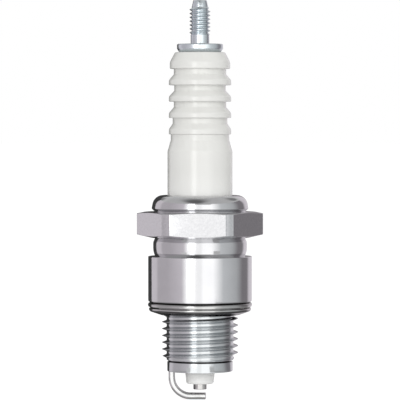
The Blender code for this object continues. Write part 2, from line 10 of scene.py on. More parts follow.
import bmesh
import bpy
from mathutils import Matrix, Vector

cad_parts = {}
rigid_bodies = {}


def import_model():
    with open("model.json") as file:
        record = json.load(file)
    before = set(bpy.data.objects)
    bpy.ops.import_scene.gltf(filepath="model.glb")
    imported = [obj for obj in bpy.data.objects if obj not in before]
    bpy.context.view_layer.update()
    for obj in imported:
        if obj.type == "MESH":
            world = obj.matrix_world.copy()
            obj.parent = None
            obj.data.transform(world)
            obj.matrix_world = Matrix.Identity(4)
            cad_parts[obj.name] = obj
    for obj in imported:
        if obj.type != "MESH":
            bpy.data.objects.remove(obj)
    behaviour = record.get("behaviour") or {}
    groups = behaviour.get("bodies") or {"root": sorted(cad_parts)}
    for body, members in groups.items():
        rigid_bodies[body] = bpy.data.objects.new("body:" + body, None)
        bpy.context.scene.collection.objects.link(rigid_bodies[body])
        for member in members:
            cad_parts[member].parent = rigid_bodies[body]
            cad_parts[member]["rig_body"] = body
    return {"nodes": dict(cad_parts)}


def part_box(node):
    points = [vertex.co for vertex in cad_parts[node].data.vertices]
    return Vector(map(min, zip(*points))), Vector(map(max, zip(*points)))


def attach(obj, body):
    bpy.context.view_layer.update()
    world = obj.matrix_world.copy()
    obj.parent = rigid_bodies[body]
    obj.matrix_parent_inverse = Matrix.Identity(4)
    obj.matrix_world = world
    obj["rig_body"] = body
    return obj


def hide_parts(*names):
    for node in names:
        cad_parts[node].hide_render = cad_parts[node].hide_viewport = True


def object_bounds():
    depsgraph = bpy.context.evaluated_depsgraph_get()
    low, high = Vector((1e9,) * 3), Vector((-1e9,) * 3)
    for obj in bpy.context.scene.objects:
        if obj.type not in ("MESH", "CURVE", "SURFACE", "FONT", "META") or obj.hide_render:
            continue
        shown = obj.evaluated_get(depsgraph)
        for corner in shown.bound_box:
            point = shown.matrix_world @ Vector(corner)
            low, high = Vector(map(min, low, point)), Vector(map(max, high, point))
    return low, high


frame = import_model()
CAD_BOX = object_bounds()

MM = 0.001

# Facets and joins
TURN_SIDES = 180              # a multiple of 12, so that each flat of the hexagon lies evenly on them
ROD_SIDES = 96
ARC_STEP = math.radians(11)   # widest angle of one facet in a rounded corner
CURVE_STEPS = 16
JOIN = 0.0005 * MM
SHARP = math.radians(38)
BROKEN_EDGE = 0.08 * MM       # rounding of an edge or inner corner that has no size of its own
SEAM = 0.02 * MM              # height of the strip that joins a thread to a plain stretch

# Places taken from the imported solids
SHELL_LOW, SHELL_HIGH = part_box("shell")
INSULATOR_LOW, INSULATOR_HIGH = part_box("insulator")
STUD_LOW, STUD_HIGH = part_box("terminal_stud")
GASKET_LOW, GASKET_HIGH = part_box("gasket")
STRAP_LOW, STRAP_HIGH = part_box("ground_electrode")
ELECTRODE_LOW, ELECTRODE_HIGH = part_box("centre_electrode")

# Shell thread, neck and end
THREAD_R = 6.975 * MM
THREAD_PITCH = 1.25 * MM
THREAD_DEPTH = 0.86 * MM
THREAD_CREST = 0.06 * MM
THREAD_CREST_ROUND = 0.04 * MM
THREAD_ROOT_ROUND = 0.24 * MM
THREAD_FLANK = math.radians(21)
THREAD_PHASE = 0.29 * MM      # height of a groove's middle above the shell's end, at +X
NECK_R = 6.12 * MM
NECK_END = -1.8 * MM
PILOT_R = 6.0 * MM
PILOT_TOP = -10.66 * MM
PILOT_SLOPE = 1.1             # of the thread's run-out, as radius over height
PILOT_GROOVE = 0.4 * MM
PILOT_GROOVE_HEIGHT = 0.3 * MM
PILOT_GROOVE_LEAN = 0.8       # share of its height that the groove's sloping foot takes
END_ROUND = 0.18 * MM

# Shell body
COLLAR_R = 9.5 * MM
COLLAR_TOP = 8.38 * MM
COLLAR_ROUND = 0.13 * MM
COLLAR_FOOT_ROUND = 0.4 * MM
WAIST_R = 8.58 * MM           # between its curved ends
WAIST_FOOT_R = 8.2 * MM
WAIST_FOOT_RISE = 0.75 * MM
WAIST_FOOT_ROUND = 3.0 * MM
WAIST_HEAD_R = 8.2 * MM
WAIST_HEAD_FALL = 0.8 * MM
WAIST_HEAD_ROUND = 1.3 * MM
HEX_BOTTOM = 11.8 * MM
HEX_TOP = 16.5 * MM
HEX_FLAT_R = SHELL_HIGH.y
CORNER_FACETS = 13            # from the middle of a flat to its corner
HEX_CORNER_R = HEX_FLAT_R / math.cos(math.tau * CORNER_FACETS / TURN_SIDES)
HEX_FACE_INSET = 0.15 * MM    # from a flat to the rim of the turned top
HEX_TOP_CHAMFER = 0.27 * MM
HEX_BOTTOM_CHAMFER = 0.6 * MM
HEX_UNDERSIDE_R = 8.98 * MM   # where the sloping underside starts
HEX_EDGE = 0.07 * MM          # softening of each flat's edge
HEX_EDGE_STEPS = 5
FLAT_EDGES = TURN_SIDES / 12  # a face with more edges than this is one of the flats
CRIMP_NECK_R = 8.2 * MM
CRIMP_RIM_R = 8.87 * MM
CRIMP_RIM_Z = 17.1 * MM
CRIMP_SIDE_R = 8.44 * MM      # where the leaning side would meet the top
CRIMP_ROLL = 1.95 * MM
CRIMP_RIM_ROUND = 0.3 * MM
CRIMP_TOP = SHELL_HIGH.z
CRIMP_TOP_FALL = 0.1 * MM
LIP_R = 6.1 * MM
LIP_EDGE = 0.35 * MM
SHELL_BORE_R = 7.1 * MM
MID_BORE_R = 4.9 * MM
CHAMBER_R = 4.2 * MM
SHOULDER_CONE = 3.0 * MM
SEAT_Z = -4.5 * MM
SEAT_DROP = 0.4 * MM

# Insulator
BODY_R = 5.95 * MM
BODY_TOP = 27.6 * MM
RIB_R = 5.7 * MM
HEAD_R = 5.52 * MM
HEAD_CONE_R = 4.585 * MM
HEAD_LAND = 1.2 * MM
HEAD_ROUND = 1.2 * MM
TOP_ROUND = 0.4 * MM
RIB_PITCH = 3.0 * MM
TOP_UNDERSIDE = 42.7 * MM
GROOVE_DEPTHS = (0.91 * MM, 1.0 * MM, 0.91 * MM, 0.7 * MM, 0.36 * MM)   # from the top rib down
GROOVE_LAND = 1.05 * MM
GROOVE_ROUND = 0.35 * MM
LOWEST_GROOVE_ROUND = 1.0 * MM
BODY_TOP_ROUND = 1.5 * MM
RIB_FLARE = 1.05 * MM
RIB_SHOULDER_ROUND = 0.75 * MM
RIB_EDGE_ROUND = 0.12 * MM
SHOULDER_R = 7.04 * MM
SHOULDER_BOTTOM = 8.68 * MM
SHOULDER_TOP = 11.08 * MM
SHOULDER_ROUND = 0.2 * MM
TRUNK_R = 4.84 * MM
TRUNK_Z = -4.06 * MM
NOSE_ROOT_R = 3.58 * MM
NOSE_ROOT_Z = -4.78 * MM
NOSE_TIP_R = 2.48 * MM
NOSE_ROUND = 0.4 * MM
UPPER_BORE_R = 2.06 * MM
LOWER_BORE_R = 1.28 * MM
BORE_STEP_Z = -1.0 * MM

# Terminal stud
SHANK_R = 2.0 * MM
FLANGE_R = 4.21 * MM
FLANGE_BOTTOM = 45.76 * MM
FLANGE_TOP = 47.23 * MM
FLANGE_TOP_ROUND = 0.22 * MM
FLANGE_FOOT_INSET = 0.35 * MM
FLANGE_FOOT_RISE = 0.6 * MM
FLANGE_FOOT_ROUND = 0.15 * MM
STUD_NECK_R = 1.7 * MM
STUD_FILLET = 0.12 * MM
STUD_THREAD_R = 1.91 * MM
STUD_THREAD_PITCH = 0.7 * MM
STUD_THREAD_DEPTH = 0.41 * MM
STUD_THREAD_BOTTOM = 48.9 * MM
STUD_THREAD_PHASE = 0.39 * MM
STUD_THREAD_FLANK = math.radians(30)
STUD_CREST = 0.06 * MM
STUD_CREST_ROUND = 0.025 * MM
STUD_ROOT_ROUND = 0.08 * MM
POINT_FOOT = 54.0 * MM        # where the thread runs out into the plain point
POINT_FOOT_R = 1.48 * MM
POINT_END_R = 1.23 * MM
POINT_ROUND = 0.12 * MM

# Gasket
GASKET_R = GASKET_HIGH.x
GASKET_INNER_R = 6.675 * MM
GASKET_LIP = 0.8 * MM
GASKET_LIP_ROUND = 0.34 * MM
GASKET_SLIT = 0.16 * MM
GASKET_SLIT_DEPTH = 1.5 * MM
GASKET_SHEET = 0.34 * MM
GASKET_LOWER_R = 9.36 * MM
GASKET_DISH = 2.1 * MM
GASKET_CONTACT = 0.45 * MM
GASKET_EDGE_RISE = 0.15 * MM
GASKET_LOWER_RISE = 0.71 * MM
GASKET_LOWER_ROLL = 0.52 * MM
GASKET_DISH_ROUND = 0.4 * MM

# Electrodes
STRAP_THICKNESS = 1.1 * MM
STRAP_LEG = 1.07 * MM
STRAP_EDGE = 0.42 * MM
STRAP_END_EDGE = 0.12 * MM
STRAP_EDGE_STEPS = 4
ELECTRODE_R = 1.22 * MM
ELECTRODE_EDGE = 0.1 * MM
COPPER_HOLE_R = 0.76 * MM
COPPER_HOLE_STOP = 2.0 * MM


# Meshes

def rounded(corners):
    """Points of an outline through (radius, height, rounding) corners, each rounding drawn as an arc."""
    points = []
    for index, (radius, height, rounding) in enumerate(corners):
        corner = Vector((radius, height))
        if not rounding:
            points.append(corner)
            continue
        back = (Vector(corners[index - 1][:2]) - corner).normalized()
        ahead = (Vector(corners[(index + 1) % len(corners)][:2]) - corner).normalized()
        half = back.angle(ahead) / 2
        centre = corner + (back + ahead).normalized() * rounding / math.sin(half)
        start = corner + back * rounding / math.tan(half) - centre
        end = corner + ahead * rounding / math.tan(half) - centre
        steps = math.ceil((math.pi - 2 * half) / ARC_STEP)
        points += [centre + start.slerp(end, step / steps) * rounding for step in range(steps + 1)]
    return points


def chain(bm, points, closed=False):
    """Vertices and edges along (radius, height) points in the XZ plane."""
    verts = [bm.verts.new((radius, 0, height)) for radius, height in points]
    pairs = list(zip(verts, verts[1:]))
    if closed:
        pairs.append((verts[-1], verts[0]))
    return verts + [bm.edges.new(pair) for pair in pairs]


def turn(bm, points, closed=False, sides=TURN_SIDES):
    """Spin an outline once round the plug's axis."""
    outline = chain(bm, points, closed)
    bmesh.ops.spin(bm, geom=outline, cent=(0, 0, 0), axis=(0, 0, 1), angle=math.tau, steps=sides,
                   use_merge=True, use_duplicate=False)
    bmesh.ops.remove_doubles(bm, verts=bm.verts[:], dist=JOIN)


def thread_section(crest_r, pitch, depth, crest, flank_angle, crest_round, root_round):
    """One pitch of a thread, from the middle of a groove to the middle of the next."""
    root_r = crest_r - depth
    flank = depth * math.tan(flank_angle)
    root_half = (pitch - crest) / 2 - flank
    return rounded([
        (root_r, 0, 0),
        (root_r, root_half, root_round),
        (crest_r, root_half + flank, crest_round),
        (crest_r, pitch - root_half - flank, crest_round),
        (root_r, pitch - root_half, root_round),
        (root_r, pitch, 0),
    ])


def between(bm, low, high):
    """Vertices, edges and faces that lie between two heights."""
    verts = [vert for vert in bm.verts if low <= vert.co.z <= high]
    inside = set(verts)
    edges = [edge for edge in bm.edges if inside.issuperset(edge.verts)]
    faces = [face for face in bm.faces if inside.issuperset(face.verts)]
    return verts + edges + faces


def thread(bm, section, pitch, phase, low, high, limits, sides):
    """A right-hand thread between two heights, with level ends and its radius kept within limits."""
    start = phase + pitch * (math.floor((low - phase) / pitch) - 1)
    outline = chain(bm, [(radius, start + height) for radius, height in section])
    bmesh.ops.spin(bm, geom=outline, cent=(0, 0, 0), axis=(0, 0, 1), dvec=(0, 0, pitch / sides),
                   angle=math.tau, steps=sides, use_duplicate=False)
    one_turn = bm.verts[:] + bm.edges[:] + bm.faces[:]
    for turn_count in range(1, math.ceil((high - start) / pitch) + 1):
        copied = bmesh.ops.duplicate(bm, geom=one_turn)["geom"]
        moved = [item for item in copied if isinstance(item, bmesh.types.BMVert)]
        bmesh.ops.translate(bm, verts=moved, vec=(0, 0, pitch * turn_count))
    bmesh.ops.remove_doubles(bm, verts=bm.verts[:], dist=JOIN)
    bmesh.ops.bisect_plane(bm, geom=between(bm, start - pitch, low + pitch), plane_co=(0, 0, low),
                           plane_no=(0, 0, -1), clear_outer=True)
    bmesh.ops.bisect_plane(bm, geom=between(bm, high - pitch, high + 3 * pitch), plane_co=(0, 0, high),
                           plane_no=(0, 0, 1), clear_outer=True)
    for vert in bm.verts:
        least, most = limits(vert.co.z)
        radius = vert.co.xy.length
        vert.co.xy *= min(max(radius, least), most) / radius


def join_ends(bm, middle):
    """Bridge a thread's level ends to the turned stretches above and below it."""
    for above in (False, True):
        ends = [edge for edge in bm.edges if edge.is_boundary and (edge.verts[0].co.z > middle) == above]
        bmesh.ops.bridge_loops(bm, edges=ends)


def add_piece(name, bm, node, material, flats=()):
    """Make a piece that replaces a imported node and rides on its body, smooth except on its flats."""
    for face in bm.faces:
        face.smooth = True
    for face in flats:
        face.smooth = False
    bmesh.ops.remove_doubles(bm, verts=bm.verts[:], dist=JOIN)
    bmesh.ops.recalc_face_normals(bm, faces=bm.faces[:])
    mesh = bpy.data.meshes.new(name)
    bm.to_mesh(mesh)
    bm.free()
    mesh.set_sharp_from_angle(angle=SHARP)
    mesh.materials.append(material)
    piece = bpy.data.objects.new(name, mesh)
    bpy.context.scene.collection.objects.link(piece)
    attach(piece, frame["nodes"][node]["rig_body"])
    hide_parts(node)
    return piece


# Shell

def shell_thread_limits(height):
    """The thread rises from the neck at 45 degrees, and runs out to the pilot on a slope of its own."""
    from_neck = NECK_R + max(0, NECK_END - height)
    from_pilot = PILOT_R + max(0, height - PILOT_TOP) * PILOT_SLOPE
    return 0, min(from_neck, from_pilot)


def crimp_corners():
    """The rim that overhangs the hexagon, the rolled edge and the lip round the insulator."""
    return [
        (CRIMP_NECK_R, HEX_TOP, BROKEN_EDGE),
        (CRIMP_RIM_R, CRIMP_RIM_Z, CRIMP_RIM_ROUND),
        (CRIMP_SIDE_R, CRIMP_TOP - CRIMP_TOP_FALL, CRIMP_ROLL),
        (LIP_R, CRIMP_TOP, BROKEN_EDGE),
        (LIP_R, CRIMP_TOP - LIP_EDGE, 0),
    ]


def shell_corners():
    """Section of the shell: from the neck up its outer side, down the bore and round to the pilot."""
    lip_start = CRIMP_TOP - LIP_EDGE - (SHELL_BORE_R - LIP_R)
    groove_foot = PILOT_TOP - PILOT_GROOVE_HEIGHT
    bottom = SHELL_LOW.z
    outside = [
        (NECK_R, NECK_END + SEAM, 0),
        (NECK_R, 0, BROKEN_EDGE),
        (COLLAR_R, 0, COLLAR_FOOT_ROUND),
        (COLLAR_R, COLLAR_TOP, COLLAR_ROUND),
        (WAIST_FOOT_R, COLLAR_TOP, 0),
        (WAIST_R, COLLAR_TOP + WAIST_FOOT_RISE, WAIST_FOOT_ROUND),
        (WAIST_R, HEX_BOTTOM - WAIST_HEAD_FALL, WAIST_HEAD_ROUND),
        (WAIST_HEAD_R, HEX_BOTTOM, 0),
        (HEX_UNDERSIDE_R, HEX_BOTTOM, 0),
        (HEX_CORNER_R, HEX_BOTTOM + HEX_BOTTOM_CHAMFER, 0),
        (HEX_CORNER_R, HEX_TOP - HEX_TOP_CHAMFER, 0),
        (HEX_FLAT_R - HEX_FACE_INSET, HEX_TOP, 0),
    ]
    bore = [
        (SHELL_BORE_R, lip_start, 0),
        (SHELL_BORE_R, COLLAR_TOP, 0),
        (MID_BORE_R, COLLAR_TOP - SHOULDER_CONE, 0),
        (MID_BORE_R, SEAT_Z, 0),
        (CHAMBER_R, SEAT_Z - SEAT_DROP, 0),
        (CHAMBER_R, bottom, BROKEN_EDGE),
    ]
    end = [
        (PILOT_R, bottom, END_ROUND),
        (PILOT_R, groove_foot, BROKEN_EDGE / 2),
        (PILOT_R - PILOT_GROOVE, groove_foot + PILOT_GROOVE_HEIGHT * PILOT_GROOVE_LEAN, 0),
        (PILOT_R - PILOT_GROOVE, PILOT_TOP - SEAM, 0),
    ]
    return outside + crimp_corners() + bore + end


def plane_flats(bm):
    """Plane the hexagon's six flats, soften their edges and return the flats' faces."""
    for index in range(6):
        angle = math.radians(60 * index)
        outwards = Vector((math.sin(angle), -math.cos(angle), 0))
        blank = between(bm, HEX_BOTTOM - JOIN, HEX_TOP + JOIN)
        cut = bmesh.ops.bisect_plane(bm, geom=blank, dist=JOIN, plane_co=outwards * HEX_FLAT_R,
                                     plane_no=outwards, clear_outer=True)["geom_cut"]
        bmesh.ops.edgeloop_fill(bm, edges=[item for item in cut if isinstance(item, bmesh.types.BMEdge)])
    rims = [edge for face in bm.faces if len(face.edges) > FLAT_EDGES for edge in face.edges]
    bmesh.ops.bevel(bm, geom=rims, offset=HEX_EDGE, offset_type="OFFSET", segments=HEX_EDGE_STEPS,
                    profile=0.5, affect="EDGES", material=-1)
    flats = [face for face in bm.faces if len(face.edges) > FLAT_EDGES]
    return bmesh.ops.poke(bm, faces=flats)["faces"]


def make_shell():
    """Plated steel body: thread, collar, buckled waist, hexagon and rolled crimp in one skin."""
    section = thread_section(THREAD_R, THREAD_PITCH, THREAD_DEPTH, THREAD_CREST, THREAD_FLANK,
                             THREAD_CREST_ROUND, THREAD_ROOT_ROUND)
    phase = SHELL_LOW.z + THREAD_PHASE
    bm = bmesh.new()
    thread(bm, section, THREAD_PITCH, phase, PILOT_TOP, NECK_END, shell_thread_limits, TURN_SIDES)
    turn(bm, rounded(shell_corners()))
    join_ends(bm, (PILOT_TOP + NECK_END) / 2)
    flats = plane_flats(bm)
    add_piece("plated_shell", bm, "shell", plated_steel(), flats)


# Insulator

def rib_corners():
    """The five ribs from the top down: a flat underside, a groove and a flare to the next rib."""
    corners = []
    for index, depth in enumerate(GROOVE_DEPTHS):
        underside = TOP_UNDERSIDE - RIB_PITCH * index
        edge_r = RIB_R if index else HEAD_R
        corners += [
            (edge_r, underside, RIB_EDGE_ROUND),
            (RIB_R - depth, underside, RIB_EDGE_ROUND),
        ]
        if depth != GROOVE_DEPTHS[-1]:
            corners += [
                (RIB_R - depth, underside - GROOVE_LAND, GROOVE_ROUND),
                (RIB_R, underside - GROOVE_LAND - RIB_FLARE, RIB_SHOULDER_ROUND),
            ]
    return corners


def insulator_corners():
    """Section of the insulator: down its outer side, then up its bore."""
    top = INSULATOR_HIGH.z
    tip = INSULATOR_LOW.z
    lowest_rib = TOP_UNDERSIDE - RIB_PITCH * (len(GROOVE_DEPTHS) - 1)
    outside = [
        (UPPER_BORE_R, top, BROKEN_EDGE),
        (HEAD_CONE_R, top, TOP_ROUND),
        (HEAD_R, TOP_UNDERSIDE + HEAD_LAND, HEAD_ROUND),
    ] + rib_corners() + [
        (RIB_R - GROOVE_DEPTHS[-1], lowest_rib - GROOVE_LAND, LOWEST_GROOVE_ROUND),
        (BODY_R, BODY_TOP, BODY_TOP_ROUND),
        (BODY_R, SHOULDER_TOP + SHOULDER_R - BODY_R, 0),
        (SHOULDER_R, SHOULDER_TOP, SHOULDER_ROUND),
        (SHOULDER_R, SHOULDER_BOTTOM, SHOULDER_ROUND),
        (TRUNK_R, SHOULDER_BOTTOM - SHOULDER_CONE, SHOULDER_ROUND),
        (TRUNK_R, TRUNK_Z, BROKEN_EDGE),
        (NOSE_ROOT_R, NOSE_ROOT_Z, SHOULDER_ROUND),
        (NOSE_TIP_R, tip, NOSE_ROUND),
    ]
    bore = [
        (LOWER_BORE_R, tip, BROKEN_EDGE),
        (LOWER_BORE_R, BORE_STEP_Z, 0),
        (UPPER_BORE_R, BORE_STEP_Z + UPPER_BORE_R - LOWER_BORE_R, 0),
    ]
    return outside + bore


def make_insulator():
    """Ribbed ceramic body, from its head under the stud to the nose round the centre electrode."""
    bm = bmesh.new()
    turn(bm, rounded(insulator_corners()), closed=True)
    add_piece("ribbed_insulator", bm, "insulator", glazed_ceramic())


# Terminal stud

def stud_thread_limits(height):
    """The thread fades into the neck below it, and is turned down to the point above it."""
    from_neck = STUD_NECK_R + max(0, height - STUD_THREAD_BOTTOM)
    fade = STUD_NECK_R - max(0, height - STUD_THREAD_BOTTOM)
    from_point = POINT_FOOT_R + max(0, POINT_FOOT - height)
    return min(fade, from_point), min(from_neck, from_point)


def make_stud():
    """Steel stud: a shank in the insulator, the flange on it and the bare thread with a plain point."""
    section = thread_section(STUD_THREAD_R, STUD_THREAD_PITCH, STUD_THREAD_DEPTH, STUD_CREST,
                             STUD_THREAD_FLANK, STUD_CREST_ROUND, STUD_ROOT_ROUND)
    phase = STUD_THREAD_BOTTOM + STUD_THREAD_PHASE
    tip = STUD_HIGH.z
    foot = [
        (0, STUD_LOW.z, 0),
        (SHANK_R, STUD_LOW.z, BROKEN_EDGE),
        (SHANK_R, FLANGE_BOTTOM, 0),
        (FLANGE_R - FLANGE_FOOT_INSET, FLANGE_BOTTOM, BROKEN_EDGE),
        (FLANGE_R, FLANGE_BOTTOM + FLANGE_FOOT_RISE, FLANGE_FOOT_ROUND),
        (FLANGE_R, FLANGE_TOP, FLANGE_TOP_ROUND),
        (STUD_NECK_R, FLANGE_TOP, STUD_FILLET),
        (STUD_NECK_R, STUD_THREAD_BOTTOM - SEAM, 0),
    ]
    point = [
        (POINT_FOOT_R, POINT_FOOT + SEAM, 0),
        (POINT_END_R, tip, POINT_ROUND),
        (0, tip, 0),
    ]
    bm = bmesh.new()
    thread(bm, section, STUD_THREAD_PITCH, phase, STUD_THREAD_BOTTOM, POINT_FOOT, stud_thread_limits,
           ROD_SIDES)
    turn(bm, rounded(foot), sides=ROD_SIDES)
    turn(bm, rounded(point), sides=ROD_SIDES)
    join_ends(bm, (STUD_THREAD_BOTTOM + POINT_FOOT) / 2)
    add_piece("threaded_stud", bm, "terminal_stud", terminal_steel())


# Gasket

def gasket_corners():
    """Section of the folded sheet: the doubled upper lip, the slit and the dished lower lip."""
    top = GASKET_HIGH.z
    bottom = GASKET_LOW.z
    hollow_r = GASKET_INNER_R + GASKET_CONTACT
    lower_top = top - GASKET_LIP - GASKET_SLIT
    dish_middle = GASKET_LOWER_R - GASKET_DISH
    inner_bottom = bottom + GASKET_SHEET
    return [
        (hollow_r, top, BROKEN_EDGE),
        (GASKET_R, top, GASKET_LIP_ROUND),
        (GASKET_R, top - GASKET_LIP, GASKET_LIP_ROUND),
        (GASKET_R - GASKET_SLIT_DEPTH, top - GASKET_LIP, 0),
        (GASKET_R - GASKET_SLIT_DEPTH, lower_top, 0),
        (GASKET_LOWER_R, lower_top, GASKET_SHEET / 2),
        (GASKET_LOWER_R, bottom + GASKET_LOWER_RISE, GASKET_LOWER_ROLL),
        (dish_middle, bottom, GASKET_DISH_ROUND),
        (hollow_r, bottom, GASKET_DISH_ROUND / 2),
        (GASKET_INNER_R, bottom + GASKET_EDGE_RISE, BROKEN_EDGE),
        (GASKET_INNER_R, inner_bottom + GASKET_EDGE_RISE, BROKEN_EDGE),
        (hollow_r, inner_bottom, BROKEN_EDGE),
        (dish_middle, inner_bottom, GASKET_DISH_ROUND / 2),
        (GASKET_LOWER_R - GASKET_SHEET, lower_top - GASKET_SHEET, BROKEN_EDGE),
        (hollow_r, lower_top - GASKET_SHEET, BROKEN_EDGE),
    ]


def make_gasket():
    """Captive sealing ring under the collar, which turns on the neck."""
    bm = bmesh.new()
    turn(bm, rounded(gasket_corners()), closed=True)
    add_piece("folded_gasket", bm, "gasket", gasket_steel())


# Electrodes

def with_edges(faces):
    """Faces and their edges, as spin and extrude need them."""
    return faces + [edge for face in faces for edge in face.edges]


def pull(bm, faces, vector):
    """Extrude faces along a vector and return the new end."""
    pulled = bmesh.ops.extrude_face_region(bm, geom=with_edges(faces))["geom"]
    moved = [item for item in pulled if isinstance(item, bmesh.types.BMVert)]
    bmesh.ops.translate(bm, verts=moved, vec=vector)
    return [item for item in pulled if isinstance(item, bmesh.types.BMFace)]


def make_strap():
    """Ground electrode: a strap with soft edges that bends under the centre electrode."""
    outer_x = STRAP_LOW.x
    inner_x = outer_x + STRAP_THICKNESS
    half = STRAP_HIGH.y
    top = STRAP_HIGH.z
    bend_r = top - STRAP_LEG - STRAP_LOW.z
    bm = bmesh.new()
    corners = [(outer_x, -half), (inner_x, -half), (inner_x, half), (outer_x, half)]
    face = bm.faces.new([bm.verts.new((x, y, top)) for x, y in corners])
    bmesh.ops.bevel(bm, geom=face.verts[:], offset=STRAP_EDGE, segments=STRAP_EDGE_STEPS, profile=0.5,
                    affect="VERTICES", material=-1)
    leg_end = pull(bm, bm.faces[:], (0, 0, -STRAP_LEG))
    bend = bmesh.ops.spin(bm, geom=with_edges(leg_end), cent=(outer_x + bend_r, 0, top - STRAP_LEG),
                          axis=(0, -1, 0), angle=math.pi / 2, steps=CURVE_STEPS, use_duplicate=False)
    bend_end = [item for item in bend["geom_last"] if isinstance(item, bmesh.types.BMFace)]
    end = pull(bm, bend_end, (STRAP_HIGH.x - outer_x - bend_r, 0, 0))
    end_edges = [edge for face in end for edge in face.edges]
    bmesh.ops.bevel(bm, geom=end_edges, offset=STRAP_END_EDGE, segments=STRAP_EDGE_STEPS, profile=0.5,
                    affect="EDGES", material=-1)
    add_piece("bent_strap", bm, "ground_electrode", strap_nickel())


def make_centre_electrode():
    """Nickel sheath with its head in the insulator and its tip over the strap."""
    tip = ELECTRODE_LOW.z
    head_z = BORE_STEP_Z + UPPER_BORE_R - LOWER_BORE_R
    corners = [
        (0, tip, 0),
        (ELECTRODE_R, tip, ELECTRODE_EDGE),
        (ELECTRODE_R, BORE_STEP_Z, 0),
        (SHANK_R, head_z, 0),
        (SHANK_R, ELECTRODE_HIGH.z, BROKEN_EDGE),
        (COPPER_HOLE_R, ELECTRODE_HIGH.z, 0),
        (COPPER_HOLE_R, tip + COPPER_HOLE_STOP, 0),
        (0, tip + COPPER_HOLE_STOP, 0),
    ]
    bm = bmesh.new()
    turn(bm, rounded(corners), sides=ROD_SIDES)
    add_piece("electrode_sheath", bm, "centre_electrode", nickel_alloy())


# Finishes

FINE_MARKS = 0.003 * MM       # depth of the marks on bright metal
ROUGH_MARKS = 0.005 * MM
GLAZE_RELIEF = 0.006 * MM
SPECK_RELIEF = 0.02 * MM


class Value:
    """A number that varies over a surface. Arithmetic on it adds Math nodes."""

    def __init__(self, nodes, socket):
        self.nodes = nodes
        self.socket = socket

    def math(self, operation, first, second=0.0):
        return self.nodes.add("ShaderNodeMath", {"operation": operation}, {0: first, 1: second})

    def __add__(self, other):
        return self.math("ADD", self, other)

    def __radd__(self, other):
        return self.math("ADD", other, self)

    def __sub__(self, other):
        return self.math("SUBTRACT", self, other)

    def __rsub__(self, other):
        return self.math("SUBTRACT", other, self)

    def __mul__(self, other):
        return self.math("MULTIPLY", self, other)

    def __rmul__(self, other):
        return self.math("MULTIPLY", other, self)

    def __pow__(self, other):
        return self.math("POWER", self, other)

    def __abs__(self):
        return self.math("ABSOLUTE", self)

    def most(self, other):
        return self.math("MAXIMUM", self, other)


class Nodes:
    """The node tree of a finish, of a stage surface or of the world."""

    def __init__(self, tree):
        self.tree = tree
        tree.nodes.clear()

    def add(self, kind, settings=None, sockets=None, output=0):
        """Add a node of a type, set it, give its sockets values or links, and hand back one output."""
        node = self.tree.nodes.new(kind)
        for name, value in (settings or {}).items():
            if name == "stops":
                set_stops(node.color_ramp.elements, value)
            else:
                setattr(node, name, value)
        for name, value in (sockets or {}).items():
            if isinstance(value, Value):
                self.tree.links.new(value.socket, node.inputs[name])
            else:
                node.inputs[name].default_value = value
        return Value(self, node.outputs[output]) if node.outputs else None

    def point(self):
        """Object coordinates."""
        return self.add("ShaderNodeTexCoord", output="Object")

    def place(self):
        """Object coordinates, and from them the distance from the axis and the height."""
        point = self.point()
        x = self.add("ShaderNodeSeparateXYZ", None, {0: point}, "X")
        y = self.add("ShaderNodeSeparateXYZ", None, {0: point}, "Y")
        z = self.add("ShaderNodeSeparateXYZ", None, {0: point}, "Z")
        return point, (x * x + y * y) ** 0.5, z

    def noise(self, vector, grain, detail=3.0, roughness=0.5):
        """Noise from 0 to 1 whose lumps are about one grain across."""
        sockets = {"Vector": vector, "Scale": 1 / grain, "Detail": detail, "Roughness": roughness}
        return self.add("ShaderNodeTexNoise", None, sockets)

    def step(self, value, low, high):
        """A smooth step from 0 to 1 between two values."""
        sockets = {"Value": value, "From Min": low, "From Max": high}
        return self.add("ShaderNodeMapRange", {"interpolation_type": "SMOOTHSTEP"}, sockets)

    def mix(self, share, first, second):
        """A colour between two colours."""
        return self.add("ShaderNodeMix", {"data_type": "RGBA"}, {0: share, 6: first, 7: second}, 2)

    def bump(self, height, depth):
        """A normal from a height of 0 to 1 over a real depth."""
        return self.add("ShaderNodeBump", None, {"Height": height, "Distance": depth, "Strength": 1.0})


def set_stops(elements, stops):
    """Give a colour ramp its stops, each with a place from 0 to 1 and a colour."""
    while len(elements) < len(stops):
        elements.new(1.0)
    for element, (place, shade) in zip(elements, stops):
        element.position = place
        element.color = shade


def colour(red, green, blue):
    """A colour socket's value."""
    return (red, green, blue, 1.0)


def grey(level):
    """A colour socket's value with one level for all three colours."""
    return colour(level, level, level)


def finish(name):
    """A new material and its empty node tree."""
    material = bpy.data.materials.new(name + "_finish")
    material.use_nodes = True
    return material, Nodes(material.node_tree)


def surface(nodes, sockets):
    """Close a finish with the Principled shader."""
    shader = nodes.add("ShaderNodeBsdfPrincipled", None, sockets)
    nodes.add("ShaderNodeOutputMaterial", None, {"Surface": shader})


def turning_marks(nodes, radius, height, grain):
    """Fine rings round the axis, as a lathe leaves them."""
    along = nodes.add("ShaderNodeCombineXYZ", None, {"X": radius, "Y": height})
    return nodes.noise(along, grain, detail=4.0, roughness=0.6)


def painted_shade(nodes, height, place, reach, share):
    """How much painted shade darkens the metal: a share of it at one height, none at a reach from there.
    """
    return (1 - nodes.step(abs(height - place), 0, reach)) * share


